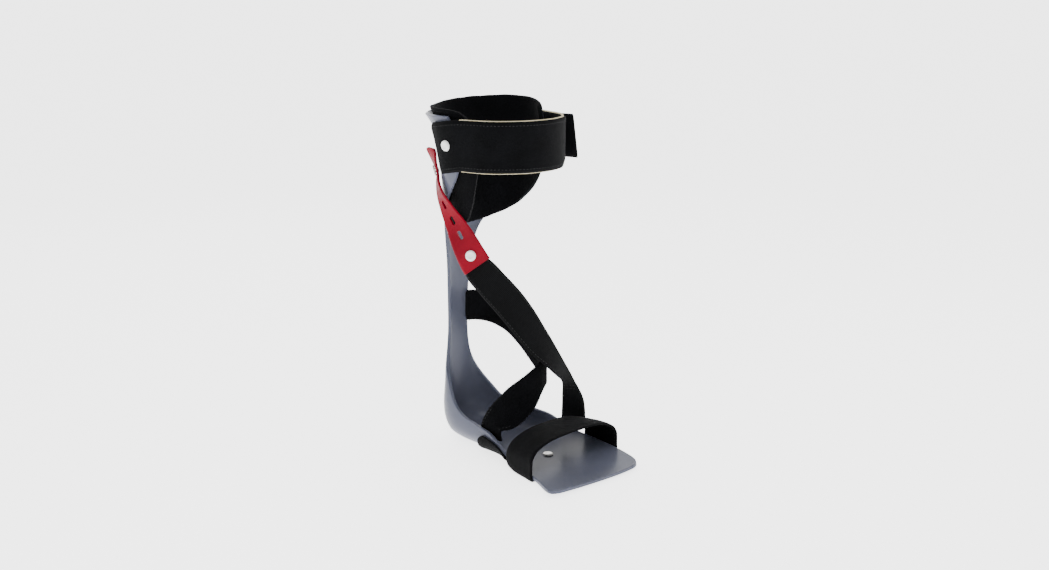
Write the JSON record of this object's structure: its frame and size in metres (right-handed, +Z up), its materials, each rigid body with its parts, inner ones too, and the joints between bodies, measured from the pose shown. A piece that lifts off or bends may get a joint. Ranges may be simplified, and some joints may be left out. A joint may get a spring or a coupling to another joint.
{
  "type": "ankle foot orthosis",
  "caption": "Posterior-leaf ankle foot orthosis for a left foot: moulded shell with a padded calf cuff, calf strap, tension strap with rein, ankle strap and forefoot strap.",
  "frame": {"origin": "centre of the bounding box on the floor, under the foot plate", "axes": "+Z up along the leg, -Y toward the toes, -X toward the inner side of the left foot"},
  "size_m": [0.1276, 0.2009, 0.3021],
  "materials": {
    "shell_plastic": "gloss, slightly translucent",
    "liner_fabric": "knit over foam",
    "strap_fabric": "loop fabric over foam",
    "foam": "cream foam core",
    "hook_tape": "hook tape",
    "tension_rubber": "satin",
    "rein_webbing": "woven webbing",
    "rivet_white": "white",
    "rivet_steel": "nickel finish"
  },
  "bodies": {
    "orthosis_frame": {"shell": "shell_plastic", "calf_strap_root": "strap_fabric", "hook_patch": "hook_tape", "calf_rivet_head": "rivet_white", "calf_rivet_flange": "rivet_white", "strap_button": "rivet_steel", "rein": "rein_webbing", "rein_branch": "rein_webbing", "rein_rivet_head": "rivet_white", "rein_rivet_washer": "rivet_white", "forefoot_strap": "strap_fabric", "forefoot_strap_tail": "strap_fabric", "plate_rivet_head": "rivet_steel", "instep_strap_far": "strap_fabric", "instep_anchor": "strap_fabric", "leaf_rivet_lower": "rivet_white", "leaf_rivet_upper": "rivet_white"},
    "calf_strap": {"calf_strap_lining": "strap_fabric", "calf_strap_foam": "foam", "calf_strap_face": "strap_fabric"},
    "pull_tab": {"calf_pull_tab": "strap_fabric"},
    "tension_strap": {"tension_strap": "tension_rubber"},
    "ankle_strap_near": {"instep_strap_near": "strap_fabric"},
    "liner": {"calf_liner": "liner_fabric"}
  },
  "joints": [
    {"name": "calf_strap_open", "type": "hinge", "parent": "orthosis_frame", "child": "calf_strap", "pos_m": [-0.05, 0.0217, 0.268], "axis": [0, 0, -1], "range_deg": [0, 100]},
    {"name": "pull_tab_peel", "type": "hinge", "parent": "calf_strap", "child": "pull_tab", "pos_m": [0.054, 0.0225, 0.27], "axis": [0, 0, 1], "range_deg": [0, 75]},
    {"name": "tension_strap_swivel", "type": "hinge", "parent": "orthosis_frame", "child": "tension_strap", "pos_m": [-0.03405, 0.03194, 0.17372], "axis": [-0.8327, -0.5334, 0.1486], "range_deg": [0, 100]},
    {"name": "ankle_strap_open", "type": "hinge", "parent": "orthosis_frame", "child": "ankle_strap_near", "pos_m": [-0.0302, 0.0115, 0.025], "axis": [0, -1, 0], "range_deg": [0, 80]},
    {"name": "liner_lift", "type": "slide", "parent": "orthosis_frame", "child": "liner", "axis": [0, 0, 1], "range_m": [0, 0.1]}
  ]
}
